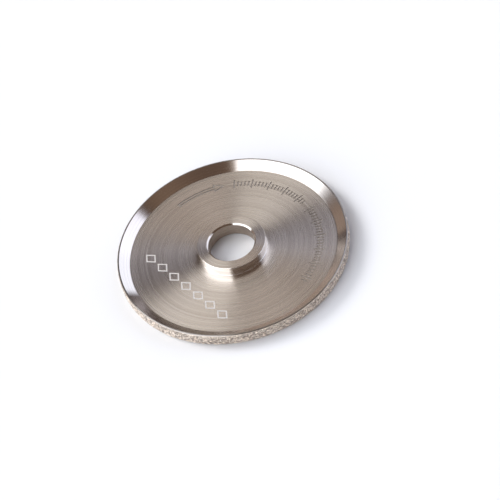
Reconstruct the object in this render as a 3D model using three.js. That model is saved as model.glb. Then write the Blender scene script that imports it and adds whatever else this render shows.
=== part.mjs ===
// An electroplated diamond grinding wheel, lying flat on its back face.
// Millimetres, +Z up along the wheel's axis, origin at the centre of the bore on the back face.
import * as THREE from 'three';

// overall sizes
const wheelRadius = 40; // over the diamonds, at the top of the rim's crown
const rimHeight = 4.5; // back face to the lip that stands round the dished front
const hubHeight = 5.6; // back face to the hub's clamping face
const webHeight = 2.05; // thickness of the flat web between the hub and the rim

// the bore and the hub around it
const boreRadius = 8; // a 16 mm spindle
const hubRadius = 11.8;
const boreFrontChamfer = 0.48;
const boreBackChamfer = 0.8;
const hubEdge = 0.12; // broken edge of the clamping face
const hubFillet = 0.15; // turned corner where the hub meets the web

// the rim and the dish that leads down from it
const lipWidth = 0.3; // flat land on top of the rim
const flankFoot = 36; // radius at which the sloped flank reaches the web
const flankFillet = 0.25;
const rimChamferFront = 0.15;
const rimChamferBack = 0.35;

// the abrasive coat on the rim
const crownRadius = 22; // hollow that the rim grinds into a blade
const bondThickness = 0.16; // nickel plated over the steel
const gritThickness = 0.14; // how far the highest crystals stand out of the nickel
const gritFloor = 0.03; // how far the lowest ones do
const evenness = 1.5; // above 1, so that the tallest crystals end level with each other

// fineness
const turnSegments = 120;
const gritSegments = 240;
const crownSteps = 4;
const gritRows = 5;
const filletSteps = 3;

const bandLow = rimChamferBack;
const bandHigh = rimHeight - rimChamferFront;
const bandMiddle = (bandLow + bandHigh) / 2;
const bondRadius = wheelRadius - gritThickness;
const coreRadius = bondRadius - bondThickness;

// Radius of the crowned rim at height z, for a crown whose highest radius is topRadius.
function crown(topRadius, z) {
  const away = z - bandMiddle;
  return topRadius - crownRadius + Math.sqrt(crownRadius ** 2 - away ** 2);
}

// Points up the crowned rim, from its back edge to its front edge.
function crownLine(topRadius, steps) {
  return Array.from({ length: steps + 1 }, (_, i) => {
    const z = bandLow + ((bandHigh - bandLow) * i) / steps;
    return new THREE.Vector2(crown(topRadius, z), z);
  });
}

// Points along a round corner about (r, z), between two angles in degrees.
function corner(r, z, radius, fromAngle, toAngle) {
  return Array.from({ length: filletSteps + 1 }, (_, i) => {
    const angle = THREE.MathUtils.degToRad(fromAngle + ((toAngle - fromAngle) * i) / filletSteps);
    return new THREE.Vector2(r + radius * Math.cos(angle), z + radius * Math.sin(angle));
  });
}

// A closed ring turned about +Z. Its section runs anticlockwise, with the radius across and z up.
function turned(section, segments) {
  const geometry = new THREE.LatheGeometry([...section, section[0].clone()], segments);
  return geometry.rotateX(Math.PI / 2);
}

function metal(color, roughness) {
  return new THREE.MeshStandardMaterial({ color, roughness, metalness: 1 });
}

// The steel body: hub, web, sloped flank and rim, turned from one blank.
function wheelCore() {
  const lipOuter = crown(coreRadius, bandHigh) - rimChamferFront;
  const lipInner = lipOuter - lipWidth;
  const slope = Math.atan2(rimHeight - webHeight, lipInner - flankFoot);
  const slopeDegrees = THREE.MathUtils.radToDeg(slope);
  const footCentre = flankFoot - flankFillet * Math.tan(slope / 2);
  const section = [
    new THREE.Vector2(boreRadius + boreBackChamfer, 0),
    new THREE.Vector2(crown(coreRadius, bandLow) - rimChamferBack, 0),
    ...crownLine(coreRadius, crownSteps),
    new THREE.Vector2(lipOuter, rimHeight),
    new THREE.Vector2(lipInner, rimHeight),
    ...corner(footCentre, webHeight + flankFillet, flankFillet, slopeDegrees - 90, -90),
    ...corner(hubRadius + hubFillet, webHeight + hubFillet, hubFillet, 270, 180),
    new THREE.Vector2(hubRadius, hubHeight - hubEdge),
    new THREE.Vector2(hubRadius - hubEdge, hubHeight),
    new THREE.Vector2(boreRadius + boreFrontChamfer, hubHeight),
    new THREE.Vector2(boreRadius, hubHeight - boreFrontChamfer),
    new THREE.Vector2(boreRadius, boreBackChamfer),
  ];
  const mesh = new THREE.Mesh(turned(section, turnSegments), metal(0xb8b0a8, 0.3));
  mesh.name = 'wheel_core';
  return mesh;
}

// The nickel that is plated over the rim and holds the crystals.
function nickelBond() {
  const section = [
    ...crownLine(bondRadius, crownSteps),
    ...crownLine(coreRadius, crownSteps).reverse(),
  ];
  const mesh = new THREE.Mesh(turned(section, turnSegments), metal(0xb4a998, 0.45));
  mesh.name = 'nickel_bond';
  return mesh;
}

// A repeatable height between 0 and 1 for each place on the grit, from its step round and its row.
// About a third of them reach the full height, as graded crystals on one smooth rim do.
function crystalHeight(step, row) {
  const mixed = Math.sin(step * 12.9898 + row * 78.233) * 43758.5453;
  return Math.min(1, (mixed - Math.floor(mixed)) * evenness);
}

// The single layer of diamond crystals: a knobbly skin on the nickel, as one ring.
function diamondGrit() {
  const section = [
    ...crownLine(bondRadius + gritFloor, gritRows),
    ...crownLine(bondRadius, crownSteps).reverse(),
  ];
  const geometry = turned(section, gritSegments);
  const points = geometry.getAttribute('position');
  const pointsPerStep = section.length + 1;
  for (let i = 0; i < points.count; i += 1) {
    const step = Math.floor(i / pointsPerStep) % gritSegments;
    const row = (i % pointsPerStep) % section.length;
    if (row <= gritRows) {
      const raised = (gritThickness - gritFloor) * crystalHeight(step, row);
      const radius = Math.hypot(points.getX(i), points.getY(i));
      const grown = (radius + raised) / radius;
      points.setX(i, points.getX(i) * grown);
      points.setY(i, points.getY(i) * grown);
    }
  }
  geometry.computeVertexNormals();
  const material = new THREE.MeshStandardMaterial({ color: 0xb5a78f, roughness: 0.5, metalness: 0.1 });
  const mesh = new THREE.Mesh(geometry, material);
  mesh.name = 'diamond_grit';
  return mesh;
}

const wheel = new THREE.Group();
wheel.add(wheelCore(), nickelBond(), diamondGrit());

export default wheel;
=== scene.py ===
# Diamond grinding wheel with a dished front, lying flat on its back face. Metres, +Z up the axis.
import math
import random

import bmesh
import bpy
from mathutils import Matrix, Vector, noise


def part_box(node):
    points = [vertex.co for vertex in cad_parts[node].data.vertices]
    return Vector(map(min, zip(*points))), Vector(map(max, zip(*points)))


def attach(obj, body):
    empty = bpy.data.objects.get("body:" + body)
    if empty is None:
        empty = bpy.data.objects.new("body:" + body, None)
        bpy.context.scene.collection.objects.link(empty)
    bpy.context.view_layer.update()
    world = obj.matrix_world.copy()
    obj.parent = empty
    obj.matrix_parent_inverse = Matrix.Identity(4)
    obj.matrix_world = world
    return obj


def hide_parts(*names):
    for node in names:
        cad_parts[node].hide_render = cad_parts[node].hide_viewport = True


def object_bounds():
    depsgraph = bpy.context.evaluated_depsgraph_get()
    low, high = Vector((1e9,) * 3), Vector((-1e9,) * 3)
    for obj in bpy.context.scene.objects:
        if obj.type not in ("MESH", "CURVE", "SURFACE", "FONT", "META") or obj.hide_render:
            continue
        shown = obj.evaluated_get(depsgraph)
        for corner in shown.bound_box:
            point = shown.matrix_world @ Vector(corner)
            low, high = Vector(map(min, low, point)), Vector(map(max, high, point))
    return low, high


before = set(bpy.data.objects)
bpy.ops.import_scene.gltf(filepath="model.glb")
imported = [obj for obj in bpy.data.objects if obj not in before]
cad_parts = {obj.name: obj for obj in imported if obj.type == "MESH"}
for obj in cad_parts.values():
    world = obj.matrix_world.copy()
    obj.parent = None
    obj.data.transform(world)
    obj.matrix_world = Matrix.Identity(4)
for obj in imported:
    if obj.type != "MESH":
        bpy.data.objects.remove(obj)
cadLow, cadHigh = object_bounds()
mm = 0.001
print("frame loaded")


def sectionOf(node, decimals=7):
    # (radius, height) of every corner of a turned CAD node, found in its half plane y = 0
    corners = set()
    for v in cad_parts[node].data.vertices:
        if abs(v.co.y) < 10 ** -decimals and v.co.x > 0:
            corners.add((round(v.co.x, decimals), round(v.co.z, decimals)))
    return sorted(corners)


core = sectionOf("wheel_core")
boreRadius = core[0][0]
hubTop = max(z for r, z in core)
hubTopRadii = [r for r, z in core if z == hubTop]
middle = cadHigh.x / 2
rimTop = max(z for r, z in core if r > middle)
lipRadii = [r for r, z in core if z == rimTop]
webTop = min(z for r, z in core if z > 0 and hubTopRadii[-1] < r < lipRadii[0])
webRadii = [r for r, z in core if z == webTop]
hubRadius = min(r for r, z in core if r > hubTopRadii[-1])
backRadii = [r for r, z in core if z == 0]
borePoints = [z for r, z in core if r == boreRadius]
nickelLow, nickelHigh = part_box("nickel_bond")
wheelRadius = cadHigh.x
coreRadius = max(r for r, z in core)
nickelRadius = nickelHigh.x
crownHeight = (nickelLow.z + nickelHigh.z) / 2
coreEdge = min(r for r, z in core if abs(z - nickelHigh.z) < 0.001 * mm)
# radius of the crown, from how far it falls away between its middle and its edge
crownHollow = ((nickelHigh.z - crownHeight) ** 2 / (coreRadius - coreEdge) + coreRadius - coreEdge) / 2


def crownAt(topRadius, z):
    # radius of the crowned rim at a height, for a crown that is topRadius at its highest
    return topRadius - crownHollow + math.sqrt(crownHollow ** 2 - (z - crownHeight) ** 2)


camera = {
    "lens": 144.05,            # mm, on the usual 36 mm sensor
    "tilt": 42.27,             # degrees between the wheel's axis and the line of sight
    "roll": 15.37,             # degrees that the camera is rolled
    "distance": 16.958,        # in wheel radii, from the middle of the lip
    "right": 0.1548,           # in wheel radii, how far the camera is moved across
    "up": -0.0508,             # the same, upwards
    "nearest": 0.01,           # metres between which the camera sees
    "farthest": 20,
}


def makeCamera():
    tilt = math.radians(camera["tilt"])
    roll = math.radians(camera["roll"])
    back = Vector((0, -math.sin(tilt), math.cos(tilt)))
    levelUp = Vector((0, math.cos(tilt), math.sin(tilt)))
    levelRight = Vector((1, 0, 0))
    right = math.cos(roll) * levelRight - math.sin(roll) * levelUp
    up = math.sin(roll) * levelRight + math.cos(roll) * levelUp
    away = camera["distance"] * back + camera["right"] * right + camera["up"] * up
    data = bpy.data.cameras.new("camera")
    data.lens = camera["lens"]
    data.clip_start = camera["nearest"]
    data.clip_end = camera["farthest"]
    eye = bpy.data.objects.new("camera", data)
    eye.matrix_world = Matrix((
        (right.x, up.x, back.x, 0),
        (right.y, up.y, back.y, 0),
        (right.z, up.z, back.z, 0),
        (0, 0, 0, 1),
    ))
    eye.location = Vector((0, 0, rimTop)) + wheelRadius * away
    bpy.context.scene.collection.objects.link(eye)
    bpy.context.scene.camera = eye


makeCamera()
print("camera placed")


def newMaterial(name):
    material = bpy.data.materials.new(name)
    material.use_nodes = True
    tree = material.node_tree
    shader = tree.nodes["Principled BSDF"]
    return material, tree, shader


def addNode(tree, kind, **settings):
    node = tree.nodes.new(kind)
    for key, value in settings.items():
        if key in node.inputs:
            node.inputs[key].default_value = value
        else:
            setattr(node, key, value)
    return node


def mathNode(tree, operation, first, second=None):
    node = tree.nodes.new("ShaderNodeMath")
    node.operation = operation
    for socket, value in zip(node.inputs, (first, second)):
        if value is None:
            continue
        if isinstance(value, (int, float)):
            socket.default_value = value
        else:
            tree.links.new(value, socket)
    return node.outputs[0]


def objectPlace(tree):
    return tree.nodes.new("ShaderNodeTexCoord").outputs["Object"]


def radiusAndHeight(tree):
    # distance from the axis and height above the back face, in metres
    parts = tree.nodes.new("ShaderNodeSeparateXYZ")
    tree.links.new(objectPlace(tree), parts.inputs[0])
    squares = [mathNode(tree, "MULTIPLY", parts.outputs[i], parts.outputs[i]) for i in (0, 1)]
    return mathNode(tree, "SQRT", mathNode(tree, "ADD", *squares)), parts.outputs[2]


turning = {
    # kinds of ring: noise lines per metre, detail and seed
    "toneRings": (1300, 1.5, 0.3),
    "roughnessRings": (1800, 1.5, 0.7),
    "grooveDetail": 3,
    "grooveSeed": 1.1,
    "fineShare": 0.6,         # share of every finer layer in the noise
    "highlightTurn": 0.25,    # of a full turn, so that highlights run across the grooves
}


def ringNoise(tree, linesPerMetre, detail, seed):
    # noise that depends on radius and height only, so it draws rings as a lathe tool does
    radius, height = radiusAndHeight(tree)
    place = tree.nodes.new("ShaderNodeCombineXYZ")
    tree.links.new(radius, place.inputs[0])
    tree.links.new(height, place.inputs[1])
    place.inputs[2].default_value = seed
    rings = addNode(tree, "ShaderNodeTexNoise", Scale=linesPerMetre, Detail=detail)
    rings.inputs["Roughness"].default_value = turning["fineShare"]
    tree.links.new(place.outputs[0], rings.inputs["Vector"])
    return rings.outputs[0]


def mapped(tree, value, low, high, fromLow=0.25, fromHigh=0.75):
    node = tree.nodes.new("ShaderNodeMapRange")
    tree.links.new(value, node.inputs[0])
    for i, limit in enumerate((fromLow, fromHigh, low, high), start=1):
        node.inputs[i].default_value = limit
    return node.outputs[0]


def mixedColour(tree, share, first, second):
    node = tree.nodes.new("ShaderNodeMix")
    node.data_type = "RGBA"
    tree.links.new(share, node.inputs[0])
    # the colours of a mix node are its inputs 6 and 7 and its output 2
    node.inputs[6].default_value = (*first, 1)
    node.inputs[7].default_value = (*second, 1)
    return node.outputs[2]


def bumped(tree, shader, height, depth):
    bump = addNode(tree, "ShaderNodeBump", Strength=1.0, Distance=depth)
    tree.links.new(height, bump.inputs["Height"])
    tree.links.new(bump.outputs[0], shader.inputs["Normal"])


steelFinish = {
    "satin": {                       # web, hub face and back
        "dark": (0.50, 0.435, 0.375),
        "light": (0.62, 0.55, 0.48),
        "roughness": (0.23, 0.29),
        "anisotropic": 1.0,
        "grooves": 1300,             # noise lines per metre
        "depth": 0.0022 * mm,
    },
    "bright": {                      # flank and chamfers
        "dark": (0.56, 0.50, 0.45),
        "light": (0.66, 0.60, 0.54),
        "roughness": (0.11, 0.16),
        "anisotropic": 0.95,
        "grooves": 5000,
        "depth": 0.0004 * mm,
    },
    "polished": {                    # hub wall
        "dark": (0.94, 0.93, 0.92),
        "light": (1.0, 0.99, 0.98),
        "roughness": (0.05, 0.09),
        "anisotropic": 0.9,
        "grooves": 5000,
        "depth": 0.0003 * mm,
    },
    "lipShaded": {                         # flat land and chamfer on top of the rim, a darker copy of the satin steel: painted shade for the dark line along the lip
        "dark": (0.25, 0.225, 0.205),
        "light": (0.36, 0.33, 0.30),
        "roughness": (0.23, 0.29),
        "anisotropic": 1.0,
        "grooves": 2500,
        "depth": 0.001 * mm,
    },
    "boreShaded": {                       # inside the bore, a darker and browner copy of the steel: painted shade in the bore
        "dark": (0.36, 0.285, 0.225),
        "light": (0.47, 0.385, 0.315),
        "roughness": (0.26, 0.34),
        "anisotropic": 0.8,
        "grooves": 4000,
        "depth": 0.001 * mm,
    },
}


def turnedSteel(name, finish):
    material, tree, shader = newMaterial(name)
    tone = ringNoise(tree, *turning["toneRings"])
    colour = mixedColour(tree, mapped(tree, tone, 0, 1), finish["dark"], finish["light"])
    tree.links.new(colour, shader.inputs["Base Color"])
    rough = ringNoise(tree, *turning["roughnessRings"])
    tree.links.new(mapped(tree, rough, *finish["roughness"]), shader.inputs["Roughness"])
    shader.inputs["Metallic"].default_value = 1.0
    shader.inputs["Anisotropic"].default_value = finish["anisotropic"]
    shader.inputs["Anisotropic Rotation"].default_value = turning["highlightTurn"]
    tangent = addNode(tree, "ShaderNodeTangent", direction_type="RADIAL", axis="Z")
    tree.links.new(tangent.outputs[0], shader.inputs["Tangent"])
    grooves = ringNoise(tree, finish["grooves"], turning["grooveDetail"], turning["grooveSeed"])
    bumped(tree, shader, grooves, finish["depth"])
    return material


markFinish = {
    "cutShaded": {                         # the ring of marks, cut deep; their dark tone is painted shade inside the strokes
        "dark": (0.34, 0.30, 0.26),
        "light": (0.46, 0.41, 0.36),
        "metallic": 0.9,
    },
    "etched": {                      # the row of lozenges, etched to a pale matt
        "dark": (0.70, 0.66, 0.61),
        "light": (0.86, 0.82, 0.77),
        "metallic": 0.35,
    },
}


markGrain = {
    "scale": 9000,            # per metre
    "detail": 3,
    "roughness": 0.55,
    "depth": 0.004 * mm,
}


def matSteel(name, finish):
    material, tree, shader = newMaterial(name)
    grain = addNode(tree, "ShaderNodeTexNoise", Scale=markGrain["scale"], Detail=markGrain["detail"])
    tree.links.new(objectPlace(tree), grain.inputs["Vector"])
    colour = mixedColour(tree, mapped(tree, grain.outputs[0], 0, 1), finish["dark"], finish["light"])
    tree.links.new(colour, shader.inputs["Base Color"])
    shader.inputs["Metallic"].default_value = finish["metallic"]
    shader.inputs["Roughness"].default_value = markGrain["roughness"]
    bumped(tree, shader, grain.outputs[0], markGrain["depth"])
    return material


nickelFinish = {
    "shadedBed": {                         # between the crystals, and the upper end; a dark copy of the plating, painted shade between the crystals
        "dark": (0.20, 0.165, 0.14),
        "light": (0.46, 0.40, 0.34),
    },
    "edge": {                        # the collar over the crystals, the inside and the lower end; a light copy of the plating, a painted highlight along the collar
        "dark": (0.80, 0.70, 0.61),
        "light": (0.94, 0.86, 0.77),
    },
}


nickelGrain = {
    "scale": 3500,            # per metre
    "detail": 4,
    "roughness": (0.28, 0.45),
    "depth": 0.03 * mm,
}


def nickelPlate(name, finish):
    material, tree, shader = newMaterial(name)
    grain = addNode(tree, "ShaderNodeTexNoise", Scale=nickelGrain["scale"], Detail=nickelGrain["detail"])
    tree.links.new(objectPlace(tree), grain.inputs["Vector"])
    colour = mixedColour(tree, mapped(tree, grain.outputs[0], 0, 1), finish["dark"], finish["light"])
    tree.links.new(colour, shader.inputs["Base Color"])
    rough = mapped(tree, grain.outputs[0], *nickelGrain["roughness"])
    tree.links.new(rough, shader.inputs["Roughness"])
    shader.inputs["Metallic"].default_value = 1.0
    bumped(tree, shader, grain.outputs[0], nickelGrain["depth"])
    return material


crystalFinish = {
    "dark": (0.17, 0.135, 0.115),
    "light": (1.0, 0.87, 0.73),
    "roughness": (0.10, 0.32),
    "refraction": 2.2,
    "metallic": 0.2,              # the film of nickel that is left on the crystals
    "cells": 2700,                # patches of one tone per metre
    "clumps": 1500,               # groups of crystals of one tone per metre
    "clumpDetail": 2,
    "clumpContrast": (0.36, 0.64),
    "contrast": (0.26, 0.68),     # shares at which the tone is darkest and lightest
}


def diamondCrystal():
    material, tree, shader = newMaterial("diamondCrystal")
    cells = addNode(tree, "ShaderNodeTexVoronoi", Scale=crystalFinish["cells"])
    tree.links.new(objectPlace(tree), cells.inputs["Vector"])
    tone = tree.nodes.new("ShaderNodeSeparateColor")
    tree.links.new(cells.outputs["Color"], tone.inputs[0])
    clumps = addNode(tree, "ShaderNodeTexNoise", Scale=crystalFinish["clumps"])
    clumps.inputs["Detail"].default_value = crystalFinish["clumpDetail"]
    tree.links.new(objectPlace(tree), clumps.inputs["Vector"])
    clumped = mapped(tree, clumps.outputs[0], 0, 1, *crystalFinish["clumpContrast"])
    # half of the tone is the crystal's own and half is its clump's
    share = mathNode(tree, "MULTIPLY", mathNode(tree, "ADD", tone.outputs[0], clumped), 0.5)
    share = mapped(tree, share, 0, 1, *crystalFinish["contrast"])
    colour = mixedColour(tree, share, crystalFinish["dark"], crystalFinish["light"])
    tree.links.new(colour, shader.inputs["Base Color"])
    rough = mapped(tree, tone.outputs[1], *crystalFinish["roughness"], 0, 1)
    tree.links.new(rough, shader.inputs["Roughness"])
    shader.inputs["Metallic"].default_value = crystalFinish["metallic"]
    shader.inputs["IOR"].default_value = crystalFinish["refraction"]
    return material


def roundedSection(corners, stepAngle):
    # closes a list of (radius, height, rounding, material) corners, with an arc at each rounded one;
    # each corner's material belongs to the run that leaves it
    points = []
    count = len(corners)
    for i, (r, z, rounding, look) in enumerate(corners):
        here = Vector((r, z))
        before = Vector(corners[i - 1][:2]) - here
        after = Vector(corners[(i + 1) % count][:2]) - here
        lookBefore = corners[i - 1][3]
        if rounding == 0:
            points.append((here, look))
            continue
        half = before.angle(after) / 2
        trim = rounding / math.tan(half)
        start = here + before.normalized() * trim
        end = here + after.normalized() * trim
        inward = (before.normalized() + after.normalized()).normalized()
        centre = here + inward * rounding / math.sin(half)
        turn = (start - centre).angle_signed(end - centre)
        steps = max(2, math.ceil(abs(math.degrees(turn)) / stepAngle))
        for k in range(steps + 1):
            spoke = (start - centre).copy()
            spoke.rotate(Matrix.Rotation(-turn * k / steps, 2))
            points.append((centre + spoke, lookBefore if k < steps / 2 else look))
    return points


def filled(points, pitch):
    # adds points along every run longer than pitch[material]
    full = []
    for i, (here, look) in enumerate(points):
        full.append((here, look))
        there = points[(i + 1) % len(points)][0]
        parts = math.ceil((there - here).length / pitch.get(look, 1))
        for k in range(1, parts):
            full.append((here.lerp(there, k / parts), look))
    return full


def turnedMesh(name, points, segments):
    mesh = bpy.data.meshes.new(name)
    shape = bmesh.new()
    rings = []
    for s in range(segments):
        angle = 2 * math.pi * s / segments
        across, along = math.cos(angle), math.sin(angle)
        rings.append([shape.verts.new((p.x * across, p.x * along, p.y)) for p, look in points])
    count = len(points)
    for s in range(segments):
        this, following = rings[s], rings[(s + 1) % segments]
        for i in range(count):
            j = (i + 1) % count
            face = shape.faces.new((this[i], following[i], following[j], this[j]))
            face.material_index = points[i][1]
            face.smooth = True
    shape.to_mesh(mesh)
    shape.free()
    return mesh


def markSharpEdges(mesh, degrees):
    # marks the edges that turn by more than an angle as sharp
    shape = bmesh.new()
    shape.from_mesh(mesh)
    for edge in shape.edges:
        edge.smooth = edge.calc_face_angle(0) < math.radians(degrees)
    for face in shape.faces:
        face.smooth = True
    shape.to_mesh(mesh)
    shape.free()


def newPiece(name, mesh, materials):
    piece = bpy.data.objects.new(name, mesh)
    bpy.context.scene.collection.objects.link(piece)
    for material in materials:
        mesh.materials.append(material)
    return piece


def applied(piece):
    # works the piece's modifiers into its mesh
    scene = bpy.context.evaluated_depsgraph_get()
    mesh = bpy.data.meshes.new_from_object(piece.evaluated_get(scene))
    piece.modifiers.clear()
    piece.data = mesh


# the finishes' places in the body's list of materials
satin, bright, polished, lipShaded, boreShaded, cutShaded, etched = range(len(steelFinish) + len(markFinish))

bodyShape = {
    "segments": 360,
    "arcStep": 10,            # degrees between the points of a rounded corner
    "sharpAngle": 35,         # degrees from which an edge is drawn sharp
    "edge": 0.05 * mm,        # broken edges
    "hubEdge": 0.10 * mm,
    "hubFillet": 0.15 * mm,
    "flankFillet": 0.25 * mm,
    "webPitch": 0.45 * mm,    # distance between rings on the web
    "ripple": 0.006 * mm,     # how far the rings wander up and down
    "seed": 5,
}


def flankFoot():
    # where the flank's line meets the web, from the lowest and highest corner of the CAD flank
    flank = sorted((r, z) for r, z in core if webRadii[-1] < r <= lipRadii[0] and z > webTop)
    (r1, z1), (r2, z2) = flank[0], flank[-1]
    return r1 - (z1 - webTop) * (r2 - r1) / (z2 - z1)


def bodySection():
    edge = bodyShape["edge"]
    rimLow = nickelLow.z
    rimHigh = nickelHigh.z
    corners = [
        (backRadii[0], 0, edge, satin),
        (backRadii[-1], 0, edge, bright),
        (crownAt(coreRadius, rimLow), rimLow, 0, bright),
        (coreRadius, crownHeight, 0, bright),
        (crownAt(coreRadius, rimHigh), rimHigh, edge, lipShaded),
        (lipRadii[-1], rimTop, edge, lipShaded),
        (lipRadii[0], rimTop, edge, bright),
        (flankFoot(), webTop, bodyShape["flankFillet"], satin),
        (hubRadius, webTop, bodyShape["hubFillet"], polished),
        (hubRadius, hubTop, bodyShape["hubEdge"], satin),
        (hubTopRadii[0], hubTop, edge, bright),
        (boreRadius, max(borePoints), edge, boreShaded),
        (boreRadius, min(borePoints), edge, bright),
    ]
    points = roundedSection(corners, bodyShape["arcStep"])
    turned = filled(points, {satin: bodyShape["webPitch"]})
    dice = random.Random(bodyShape["seed"])
    for place, look in turned:
        if any(place == corner for corner, _ in points):
            continue
        # ripples only ever go into the metal
        depth = bodyShape["ripple"] * dice.random()
        place.y += depth if place.y < webTop / 2 else -depth
    return turned


marks = {
    "ringDepth": 0.16 * mm,
    "rowDepth": 0.04 * mm,
    "cutterHeight": 0.2 * mm,  # how far the cutters stand over the web
    "ringStroke": 0.54 * mm,  # width of the arrow's outline and of the ticks
    "rowStroke": 0.46 * mm,   # width of the lozenges' outline
    "ringRadius": 30 * mm,    # middle of the ring of marks
    "ringHeight": 3.9 * mm,   # of the marks, from their inner to their outer edge
    "arrow": (119, 84),       # where the arrow starts and ends, in degrees round the wheel
    "arrowShaft": 0.2,        # half widths and length, as shares of the ring's height
    "arrowHead": 0.5,
    "arrowHeadLength": 1.1,
    "arrowSteps": 12,         # parts of every side, so that the arrow bends with the ring
    "ticks": [(78, 23), (16, -50)],  # where each run of ticks starts and ends, in degrees
    "tickPitch": 2.45,        # degrees
    "longTick": 5,            # every fifth one is long
    "shortTick": 0.56,        # of the long one's height
    "rowDistance": 21.4 * mm,  # from the axis to the row of lozenges
    "rowAngle": 210,          # degrees round the wheel to the middle of the row
    "rowCount": 7,
    "rowPitch": 6.3 * mm,
    "lozenge": (5.4 * mm, 4.2 * mm),  # along the row and across it
}


def inset(loop, distance):
    # an anticlockwise outline moved inwards
    moved = []
    for i, here in enumerate(loop):
        before = (here - loop[i - 1]).normalized()
        after = (loop[(i + 1) % len(loop)] - here).normalized()
        inward = Vector((-before.y - after.y, before.x + after.x)).normalized()
        moved.append(here + inward * distance / inward.dot(Vector((-after.y, after.x))))
    return moved


def divided(loop, parts):
    # the outline with every side cut into so many parts
    points = []
    for i, here in enumerate(loop):
        there = loop[(i + 1) % len(loop)]
        points += [here.lerp(there, k / parts) for k in range(parts)]
    return points


def addRing(shape, outer, inner, low, high):
    # a closed band between two outlines of as many points
    rows = [[shape.verts.new((*p, z)) for p in loop] for loop, z in
            ((outer, low), (outer, high), (inner, high), (inner, low))]
    count = len(outer)
    for near, far in zip(rows, rows[1:] + rows[:1]):
        for i in range(count):
            j = (i + 1) % count
            shape.faces.new((near[i], near[j], far[j], far[i]))


def addBlock(shape, loop, low, high):
    # a solid block over an outline
    under = [shape.verts.new((*p, low)) for p in loop]
    over = [shape.verts.new((*p, high)) for p in loop]
    shape.faces.new(over)
    shape.faces.new(under[::-1])
    for i in range(len(loop)):
        j = (i + 1) % len(loop)
        shape.faces.new((under[i], under[j], over[j], over[i]))


def roundTheRing(startDegrees, p):
    # a flat point (along, across) laid on the ring of marks, clockwise from its start
    angle = math.radians(startDegrees) - p.x / marks["ringRadius"]
    radius = marks["ringRadius"] + p.y
    return Vector((radius * math.cos(angle), radius * math.sin(angle)))


def arrowLoop(length, width, headLength, headWidth):
    shaft = length - headLength
    under = [(0, -width), (shaft, -width), (shaft, -headWidth)]
    over = [(shaft, headWidth), (shaft, width), (0, width)]
    return [Vector(p) for p in [*under, (length, 0), *over]]


def ringMarks(shape):
    # an arrow that gives the way round, and graduation ticks
    low, high = webTop - marks["ringDepth"], webTop + marks["cutterHeight"]
    stroke, tall = marks["ringStroke"], marks["ringHeight"]
    start, end = marks["arrow"]
    length = math.radians(start - end) * marks["ringRadius"]
    headLength = tall * marks["arrowHeadLength"]
    arrow = arrowLoop(length, tall * marks["arrowShaft"], headLength, tall * marks["arrowHead"])
    loops = [divided(loop, marks["arrowSteps"]) for loop in (arrow, inset(arrow, stroke))]
    addRing(shape, *[[roundTheRing(start, p) for p in loop] for loop in loops], low, high)
    for first, last in marks["ticks"]:
        for i in range(int((first - last) / marks["tickPitch"]) + 1):
            half = tall / 2
            if i % marks["longTick"]:
                half *= marks["shortTick"]
            bar = [(-stroke / 2, -half), (stroke / 2, -half), (stroke / 2, half), (-stroke / 2, half)]
            turn = first - i * marks["tickPitch"]
            addBlock(shape, [roundTheRing(turn, Vector(p)) for p in bar], low, high)


def rowMarks(shape):
    # outlined lozenges in a straight row
    low, high = webTop - marks["rowDepth"], webTop + marks["cutterHeight"]
    turn = math.radians(marks["rowAngle"])
    out = Vector((math.cos(turn), math.sin(turn)))
    along = Vector((-out.y, out.x))
    wide, deep = (side / 2 for side in marks["lozenge"])
    lozenge = [Vector(p) for p in ((-wide, 0), (0, -deep), (wide, 0), (0, deep))]
    for i in range(marks["rowCount"]):
        shift = (i - (marks["rowCount"] - 1) / 2) * marks["rowPitch"]
        loops = [[out * (marks["rowDistance"] + p.y) + along * (shift + p.x) for p in loop]
                 for loop in (lozenge, inset(lozenge, marks["rowStroke"]))]
        addRing(shape, *loops, low, high)


def makeCutter():
    # one mesh of everything that is cut into the web
    shape = bmesh.new()
    for draw, look in ((ringMarks, cutShaded), (rowMarks, etched)):
        earlier = len(shape.faces)
        draw(shape)
        shape.faces.ensure_lookup_table()
        for face in shape.faces[earlier:]:
            face.material_index = look
    bmesh.ops.recalc_face_normals(shape, faces=shape.faces)
    mesh = bpy.data.meshes.new("cutter")
    shape.to_mesh(mesh)
    shape.free()
    return newPiece("cutter", mesh, [])


def makeBody():
    mesh = turnedMesh("wheelBody", bodySection(), bodyShape["segments"])
    turned = [turnedSteel(name + "Steel", finish) for name, finish in steelFinish.items()]
    mat = [matSteel(name + "Steel", finish) for name, finish in markFinish.items()]
    body = newPiece("wheelBody", mesh, turned + mat)
    cutter = makeCutter()
    for look in body.data.materials:
        cutter.data.materials.append(look)
    marking = body.modifiers.new("marking", "BOOLEAN")
    marking.operation = "DIFFERENCE"
    marking.solver = "EXACT"
    marking.object = cutter
    applied(body)
    bpy.data.objects.remove(cutter)
    markSharpEdges(body.data, bodyShape["sharpAngle"])
    weighted = body.modifiers.new("normals", "WEIGHTED_NORMAL")
    weighted.keep_sharp = True
    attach(body, "root")
    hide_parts("wheel_core")


makeBody()
print("body turned")


grit = {
    "size": 0.38 * mm,
    "spread": 0.30,           # share by which sizes differ
    "spacing": 0.31 * mm,
    "shift": (0.35, 0.3),     # shares of a step, round and up, by which places differ
    "stretch": (0.8, 1.2),    # how long and how flat crystals may be
    "octahedra": 0.55,        # share of octahedra; the others are blocks
    "sink": 0.10 * mm,        # how far the lowest tips lie under the highest
    "overhang": 0.1 * mm,     # how far crystals reach under the coat
    "clearance": 0.02 * mm,   # between buried corners and the steel
    "collar": 0.18 * mm,      # bare nickel above the crystals
    "missing": 0.10,          # share of places without a crystal
    "seed": 11,
}

nickelShape = {
    "segments": 900,
    "rows": 20,               # the topmost one is the bare collar
    "swell": 0.08 * mm,       # how far the coat's thickness differs
    "lumps": 1900,            # per metre
}


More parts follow.
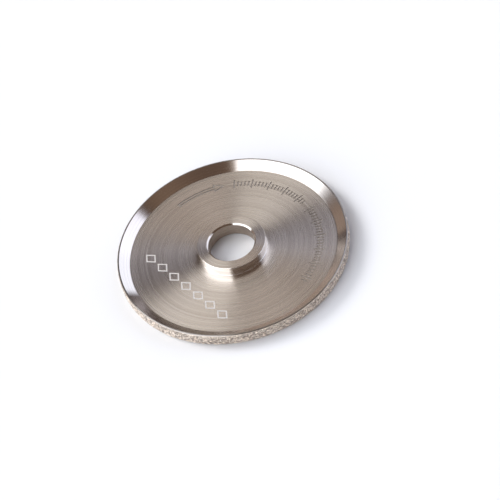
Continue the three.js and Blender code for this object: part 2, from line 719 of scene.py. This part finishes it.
def makeNickel():
    low, high = nickelLow.z, nickelHigh.z
    rows = nickelShape["rows"]
    outer = [low + (high - low) * i / rows for i in range(rows + 1)]
    # the first is the plating in painted shade, the second the plating with a painted highlight
    shadedBed, edge = 0, 1
    bare = outer[-2]
    points = [(Vector((crownAt(nickelRadius, z), z)), edge if z == bare else shadedBed) for z in outer]
    points += [(Vector((crownAt(coreRadius, z), z)), edge) for z in (high, crownHeight, low)]
    mesh = turnedMesh("nickelPlating", points, nickelShape["segments"])
    for v in mesh.vertices:
        radius = math.hypot(v.co.x, v.co.y)
        height = min(max(v.co.z, low), high)
        if height < bare and radius > crownAt(coreRadius, height) + grit["clearance"]:
            # the plating is thinner between clumps of crystals
            thin = nickelShape["swell"] * (0.5 + 0.5 * noise.noise(v.co * nickelShape["lumps"]))
            v.co.x *= 1 - thin / radius
            v.co.y *= 1 - thin / radius
    looks = [nickelPlate("nickel" + name.title(), finish) for name, finish in nickelFinish.items()]
    nickel = newPiece("nickelPlating", mesh, looks)
    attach(nickel, "root")
    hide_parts("nickel_bond")


makeNickel()
print("rim plated")


octahedron = (
    [(1, 0, 0), (-1, 0, 0), (0, 1, 0), (0, -1, 0), (0, 0, 1), (0, 0, -1)],
    [(0, 2, 4), (2, 1, 4), (1, 3, 4), (3, 0, 4), (2, 0, 5), (1, 2, 5), (3, 1, 5), (0, 3, 5)],
)
blockSides = (-0.6, 0.6)
block = (
    [(x, y, z) for x in blockSides for y in blockSides for z in blockSides],
    [(0, 1, 3, 2), (4, 6, 7, 5), (0, 4, 5, 1), (2, 3, 7, 6), (0, 2, 6, 4), (1, 5, 7, 3)],
)


def makeDiamonds():
    dice = random.Random(grit["seed"])
    low, high = nickelLow.z, nickelHigh.z - grit["collar"]
    # rows lie closer than crystals in a row, because every other one is shifted by half a step
    rows = round((high - low) / (grit["spacing"] * math.sqrt(0.75)))
    around = round(2 * math.pi * nickelRadius / grit["spacing"])
    shiftRound, shiftUp = grit["shift"]
    verts, faces = [], []
    for row in range(rows):
        for step in range(around):
            size = grit["size"] * (1 + grit["spread"] * dice.uniform(-1, 1)) / 2
            z = low + (high - low) * (row + 0.5 + dice.uniform(-shiftUp, shiftUp)) / rows
            angle = 2 * math.pi * (step + row % 2 / 2 + dice.uniform(-shiftRound, shiftRound)) / around
            lean = Vector((dice.uniform(-1, 1), dice.uniform(-1, 1), 1))
            turn = Matrix.Rotation(dice.uniform(0, 2 * math.pi), 3, lean)
            shape, sides = octahedron if dice.random() < grit["octahedra"] else block
            stretch = Vector([dice.uniform(*grit["stretch"]) for _ in range(3)])
            sink = grit["sink"] * dice.random() ** 2
            if dice.random() < grit["missing"]:
                continue
            out = Vector((math.cos(angle), math.sin(angle), 0))
            corners = [turn @ (Vector(corner) * stretch * size) for corner in shape]
            centre = crownAt(wheelRadius, z) - sink - max(corner.dot(out) for corner in corners)
            first = len(verts)
            for corner in corners:
                place = out * centre + Vector((0, 0, z)) + corner
                place.z = max(place.z, low - grit["overhang"])
                level = max(place.z, low)
                reach = math.hypot(place.x, place.y)
                # buried corners stay clear of the steel
                held = max(reach, crownAt(coreRadius, level) + grit["clearance"])
                held = min(held, crownAt(wheelRadius, level))
                place.x *= held / reach
                place.y *= held / reach
                verts.append(place)
            faces += [tuple(first + k for k in side) for side in sides]
    mesh = bpy.data.meshes.new("diamondCrystals")
    mesh.from_pydata(verts, [], faces)
    mesh.validate()
    crystals = newPiece("diamondCrystals", mesh, [diamondCrystal()])
    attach(crystals, "root")
    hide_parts("diamond_grit")
    print("crystals:", len(mesh.polygons), "faces")


makeDiamonds()


studio = {
    "floor": 0.70,            # how white the paper is
    "floorReach": 3,          # metres
    "floorRoughness": 0.8,
    "floorShine": 0.2,
    "backdrop": 0.97,
    "fill": (0.065, 0.04, 0.035),  # light from where there is no panel
    "edge": 2,                # degrees over which a panel fades out
    # each panel: middle and half width round the wheel, lowest and highest elevation, all in
    # degrees, and its colour
    "panels": {
        "leftLow": (206, 44, -5, 28, (3.2, 3.3, 3.5)),
        "left": (190, 51, 28, 60, (2.30, 2.46, 2.72)),
        "top": (178, 66, 60, 76, (0.95, 0.96, 0.95)),
        "back": (122, 26, 50, 76, (1.55, 1.57, 1.57)),
        "backRight": (81, 15, 51, 76, (1.15, 1.16, 1.16)),
        "backLow": (99, 10, 11, 34, (1.15, 1.01, 0.95)),
        "corner": (143, 16, 4, 21, (0.33, 0.27, 0.23)),
        "rightLow": (17, 38, -5, 29, (1.45, 1.62, 1.96)),
        "right": (34, 36, 28, 52, (1.56, 1.71, 2.10)),
        "frontLow": (290, 60, -5, 13, (1.10, 1.08, 1.06)),
        "front": (293, 65, 16, 48, (0.08, 0.06, 0.04)),
        "frontHigh": (293, 62, 48, 60, (0.20, 0.145, 0.105)),
    },
    # a soft lamp for the paper alone, which draws the shadow beside the wheel
    "lamp": {
        "around": 142,        # degrees
        "elevation": 31,
        "width": 24,          # degrees that it spans, seen from the wheel
        "strength": 2.5,
    },
}


def makeFloor():
    reach = studio["floorReach"]
    mesh = bpy.data.meshes.new("floor")
    corners = [(-reach, -reach, 0), (reach, -reach, 0), (reach, reach, 0), (-reach, reach, 0)]
    mesh.from_pydata(corners, [], [(0, 1, 2, 3)])
    material, _, shader = newMaterial("floorPaper")
    shader.inputs["Base Color"].default_value = (studio["floor"],) * 3 + (1,)
    shader.inputs["Roughness"].default_value = studio["floorRoughness"]
    shader.inputs["Specular IOR Level"].default_value = studio["floorShine"]
    floor = newPiece("floor", mesh, [material])
    return floor


def makeLamp(floor):
    lamp = studio["lamp"]
    around, rise = math.radians(lamp["around"]), math.radians(lamp["elevation"])
    level = Vector((math.cos(around), math.sin(around), 0))
    away = level * math.cos(rise) + Vector((0, 0, math.sin(rise)))
    data = bpy.data.lights.new("lamp", "SUN")
    data.angle = math.radians(lamp["width"])
    data.energy = lamp["strength"]
    light = bpy.data.objects.new("lamp", data)
    light.rotation_euler = away.to_track_quat("Z", "Y").to_euler()
    bpy.context.scene.collection.objects.link(light)
    lit = bpy.data.collections.new("litByLamp")
    lit.objects.link(floor)
    light.light_linking.receiver_collection = lit


def panelShare(tree, direction, around, middle, half, low, high):
    # 1 inside a panel and 0 outside it, for each direction
    edge = studio["edge"]
    limits = []
    for angle, outside, inside in ((low, 0, 1), (high, 1, 0)):
        start, end = math.sin(math.radians(angle - edge)), math.sin(math.radians(angle + edge))
        limits.append(mapped(tree, direction.outputs[2], outside, inside, start, end))
    share = mathNode(tree, "MULTIPLY", *limits)
    turn = math.radians(middle)
    across = mathNode(tree, "MULTIPLY", direction.outputs[0], math.cos(turn))
    along = mathNode(tree, "MULTIPLY", direction.outputs[1], math.sin(turn))
    near = mathNode(tree, "DIVIDE", mathNode(tree, "ADD", across, along), around)
    start, end = math.cos(math.radians(half + edge)), math.cos(math.radians(half - edge))
    return mathNode(tree, "MULTIPLY", share, mapped(tree, near, 0, 1, start, end))


def makeWorld():
    world = bpy.data.worlds.new("studio")
    world.use_nodes = True
    tree = world.node_tree
    background = tree.nodes["Background"]
    direction = tree.nodes.new("ShaderNodeSeparateXYZ")
    tree.links.new(tree.nodes.new("ShaderNodeTexCoord").outputs["Generated"], direction.inputs[0])
    squares = [mathNode(tree, "MULTIPLY", direction.outputs[i], direction.outputs[i]) for i in (0, 1)]
    around = mathNode(tree, "SQRT", mathNode(tree, "ADD", *squares))
    red, green, blue = studio["fill"]
    light = addNode(tree, "ShaderNodeCombineXYZ", X=red, Y=green, Z=blue).outputs[0]
    for middle, half, low, high, colour in studio["panels"].values():
        share = panelShare(tree, direction, around, middle, half, low, high)
        panel = addNode(tree, "ShaderNodeVectorMath", operation="SCALE")
        panel.inputs[0].default_value = colour
        tree.links.new(share, panel.inputs["Scale"])
        both = addNode(tree, "ShaderNodeVectorMath", operation="ADD")
        tree.links.new(light, both.inputs[0])
        tree.links.new(panel.outputs[0], both.inputs[1])
        light = both.outputs[0]
    seen = addNode(tree, "ShaderNodeMix", data_type="VECTOR")
    path = tree.nodes.new("ShaderNodeLightPath")
    tree.links.new(path.outputs["Is Camera Ray"], seen.inputs[0])
    # the vectors of a mix node are its inputs 4 and 5 and its output 1
    tree.links.new(light, seen.inputs[4])
    seen.inputs[5].default_value = (studio["backdrop"],) * 3
    tree.links.new(seen.outputs[1], background.inputs["Color"])
    bpy.context.scene.world = world
    bpy.context.scene.view_settings.view_transform = "Standard"


makeLamp(makeFloor())
makeWorld()
print("studio lit")
